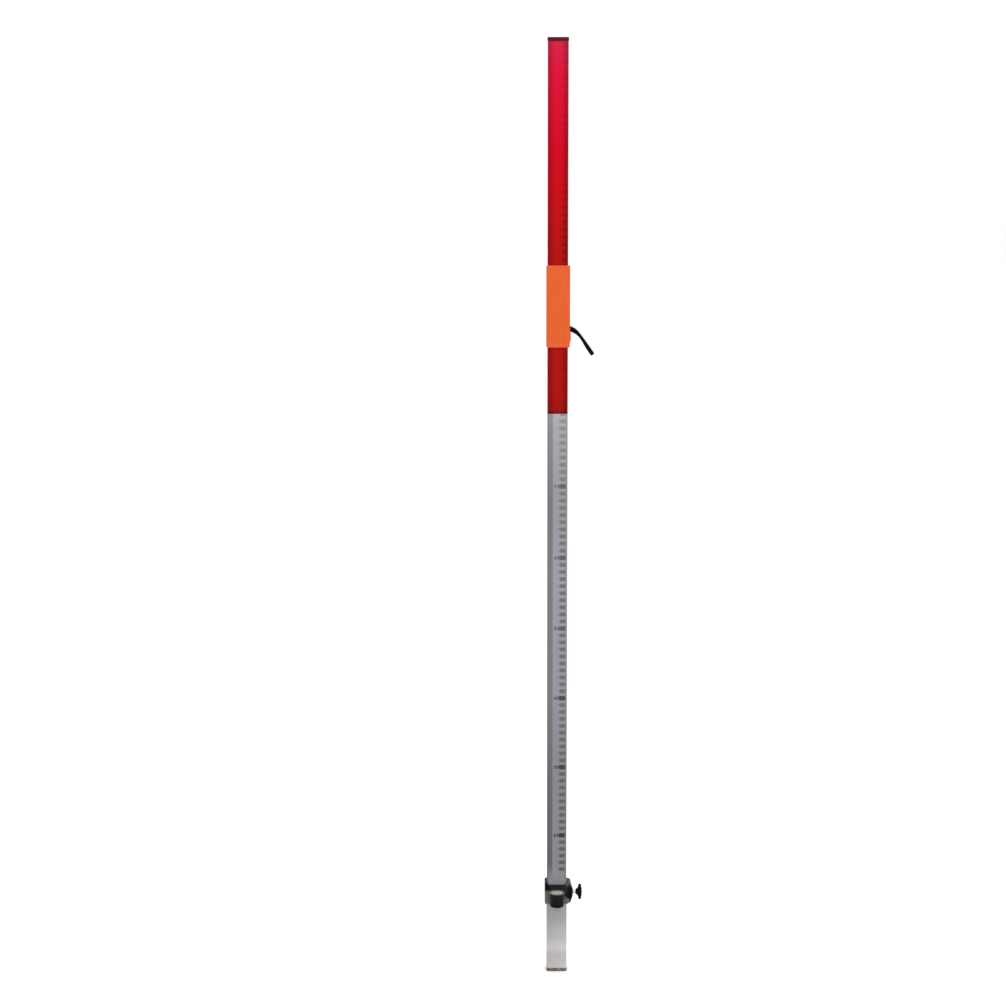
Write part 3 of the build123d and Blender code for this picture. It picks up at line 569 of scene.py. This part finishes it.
def add_piece(name, shape, material, body):
    """Makes an object from a bmesh and lets it ride on a body."""
    mesh = bpy.data.meshes.new(name)
    shape.to_mesh(mesh)
    shape.free()
    mesh.materials.append(material)
    piece = bpy.data.objects.new(name, mesh)
    bpy.context.scene.collection.objects.link(piece)
    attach(piece, body)


def digit_mesh(digit, weight):
    """A figure of height and depth 1, with its left foot at the origin and its front towards -Y."""
    curve = bpy.data.curves.new("figure", "FONT")
    curve.body = digit
    curve.resolution_u = figure_curve_steps
    curve.extrude = figure_half_depth
    curve.offset = weight
    holder = bpy.data.objects.new("figure", curve)
    mesh = bpy.data.meshes.new_from_object(holder)
    bpy.data.objects.remove(holder)
    bpy.data.curves.remove(curve)
    xs = [v.co.x for v in mesh.vertices]
    ys = [v.co.y for v in mesh.vertices]
    size = 1 / (max(ys) - min(ys))
    stand = Matrix.Rotation(pi / 2, 4, "X") @ Matrix.Diagonal((size, size, 1, 1))
    mesh.transform(stand @ Matrix.Translation((-min(xs), -min(ys), 0)))
    return mesh, (max(xs) - min(xs)) * size


digits = {str(n): digit_mesh(str(n), digit_weight) for n in range(10)}
bold_digits = {str(n): digit_mesh(str(n), number_weight) for n in range(10)}


def add_number(shape, figures, text, right, middle, height, front):
    """Adds figures that end at right, centred on a height, raised from the front face."""
    width = sum(figures[c][1] for c in text) + figure_gap * (len(text) - 1)
    x = right - width * height
    for c in text:
        mesh, figure_width = figures[c]
        start = len(shape.verts)
        shape.from_mesh(mesh)
        shape.verts.ensure_lookup_table()
        move = Matrix.Translation((x, front - ink_thickness / 2, middle - height / 2))
        scale = Matrix.Diagonal((height, ink_thickness, height, 1))
        bmesh.ops.transform(shape, matrix=move @ scale, verts=shape.verts[start:])
        x += (figure_width + figure_gap) * height


def add_mark(shape, left, right, middle, height, front):
    """Adds one printed mark as a thin raised block."""
    size = Matrix.Diagonal((right - left, ink_thickness, height, 1))
    move = Matrix.Translation(((left + right) / 2, front - ink_thickness / 2, middle))
    bmesh.ops.create_cube(shape, size=1.0, matrix=move @ size)


def add_scale(name, rows, columns, front, body, inks, cut=False):
    """Prints marks and figures on a front face, in centimetres above the ground.

    With cut, a last mark is cut off at the face's upper end.
    """
    marks, numbers, tens = bmesh.new(), bmesh.new(), bmesh.new()
    left, right = columns
    major_left = left - major_reach
    first = int((rows[0] + first_mark_clear) / mark_step) + 1
    last = int((rows[1] - last_mark_clear) / mark_step)
    for count in range(first, last + 1):
        middle = count * mark_step + mark_height / 2
        if count % major_every:
            figure = str(count % major_every)
            add_mark(marks, left, right, middle, mark_height, front)
            add_number(numbers, digits, figure, left - figure_clear, middle, digit_height, front)
        else:
            number_right = major_left - number_clear
            add_mark(tens, major_left, right, middle, major_height, front)
            add_number(tens, bold_digits, str(count), number_right, middle, number_height, front)
    if cut:
        foot = (last + 1) * mark_step
        add_mark(marks, left, right, (foot + rows[1]) / 2, rows[1] - foot, front)
    ink, bold_ink = inks
    add_piece(f"{name}_marks", marks, ink, body)
    add_piece(f"{name}_numbers", numbers, ink, body)
    add_piece(f"{name}_tens", tens, bold_ink, body)


# The inks' tone along the rod holds painted light: paler towards the top, where a painted sheen lies on
# them; the red ink shares the red tape's painted tone and darker margins
grey_ink = printed_ink("grey_ink", [
    (0.15, shown(92, 93, 95)),
    (0.3, shown(100, 101, 104)),
    (0.4, shown(111, 111, 114)),
    (0.5, shown(109, 110, 114)),
    (0.62, shown(116, 115, 119)),
    (0.74, shown(130, 129, 133)),
    (0.8, shown(148, 146, 149)),
])
bold_grey_ink = printed_ink("bold_grey_ink", [
    (0.2, shown(54, 54, 60)),
    (0.3, shown(64, 64, 69)),
    (0.4, shown(70, 70, 76)),
    (0.5, shown(94, 94, 99)),
    (0.7, shown(100, 100, 104)),
])
red_ink = tape_finish("red_ink", [
    (0.83, shown(171, 15, 14)),
    (0.95, shown(168, 14, 13)),
    (1.02, shown(154, 12, 12)),
    (1.06, shown(167, 10, 13)),
    (1.11, shown(190, 7, 20)),
    (1.16, shown(208, 3, 32)),
    (1.26, shown(214, 16, 56)),
    (1.3, shown(206, 31, 68)),
], red_level, red_margins, red_tint)
tube_ink = printed_ink("tube_ink", [
    (0.1, linear(34, 34, 36)),
    (1.1, linear(46, 46, 48)),
])
tube_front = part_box("inner_tube")[0][1]
tube_rows = (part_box("foot_boot")[1][2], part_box("stop_spacer")[0][2])
add_scale("grey_scale", grey_rows, (mark_left, mark_right), grey_box[0][1], "staff",
          (grey_ink, bold_grey_ink), cut=True)
add_scale("red_scale", red_rows, (red_mark_left, mark_right), red_box[0][1], "staff",
          (red_ink, red_ink))
add_scale("tube_scale", tube_rows, (mark_left, tube_mark_right), tube_front, "foot",
          (tube_ink, tube_ink))


def level_circle():
    """Ring printed on the top of the level's vial."""
    low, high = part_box("vial_body")
    centre = Vector(((low[0] + high[0]) / 2, (low[1] + high[1]) / 2, high[2]))
    shape = bmesh.new()
    rows = []
    for radius in (circle_radius - circle_line / 2, circle_radius + circle_line / 2):
        for lift in (0, ink_thickness):
            row = []
            for step in range(circle_steps):
                angle = 2 * pi * step / circle_steps
                offset = Vector((radius * cos(angle), radius * sin(angle), lift))
                row.append(shape.verts.new(centre + offset))
            rows.append(row)
    inner_low, inner_high, outer_low, outer_high = rows
    for first, second in ((inner_high, outer_high), (outer_high, outer_low), (outer_low, inner_low),
                          (inner_low, inner_high)):
        for step in range(circle_steps):
            after = (step + 1) % circle_steps
            shape.faces.new((first[step], second[step], second[after], first[after]))
    bmesh.ops.recalc_face_normals(shape, faces=shape.faces)
    add_piece("level_circle", shape, tube_ink, "staff")


def add_floor():
    """Pale floor with a faint unevenness."""
    shape = bmesh.new()
    bmesh.ops.create_grid(shape, x_segments=floor_segments, y_segments=floor_segments, size=floor_reach)
    mesh = bpy.data.meshes.new("floor")
    shape.to_mesh(mesh)
    shape.free()
    floor = bpy.data.objects.new("floor", mesh)
    bpy.context.scene.collection.objects.link(floor)
    finish = Finish("floor_finish", Roughness=0.9, Specular_IOR_Level=0.0)
    paper = finish.noise(0.4)
    finish.set("Base Color", finish.shade(floor_white, finish.spread(paper, 0.99, 1.01)))
    mesh.materials.append(finish.material)


def add_light():
    """White surroundings and soft lamps."""
    scene = bpy.context.scene
    scene.view_settings.view_transform = "Standard"
    world = bpy.data.worlds.new("studio")
    world.use_nodes = True
    surround = world.node_tree.nodes["Background"]
    surround.inputs["Color"].default_value = surround_white
    surround.inputs["Strength"].default_value = surround_strength
    scene.world = world
    for lamp in lamps:
        light = bpy.data.lights.new(lamp["name"], "AREA")
        light.size = lamp["size"]
        light.energy = lamp["power"]
        holder = bpy.data.objects.new(lamp["name"], light)
        holder.location = lamp["place"]
        beam = Vector(lamp["aim"]) - Vector(lamp["place"])
        holder.rotation_euler = beam.to_track_quat("-Z", "Y").to_euler()
        scene.collection.objects.link(holder)


def set_camera():
    """Camera at the photograph's viewing angle."""
    lens = bpy.data.cameras.new("camera")
    lens.sensor_fit = "HORIZONTAL"
    lens.sensor_width = sensor_width
    lens.lens = camera_lens
    lens.clip_end = camera_far
    camera = bpy.data.objects.new("camera", lens)
    turn = Matrix.Rotation(pi / 2 - camera_look_down, 4, "X") @ Matrix.Rotation(-camera_roll, 4, "Z")
    camera.matrix_world = Matrix.Translation(camera_place) @ turn
    bpy.context.scene.collection.objects.link(camera)
    bpy.context.scene.camera = camera


level_circle()
add_floor()
add_light()
set_camera()
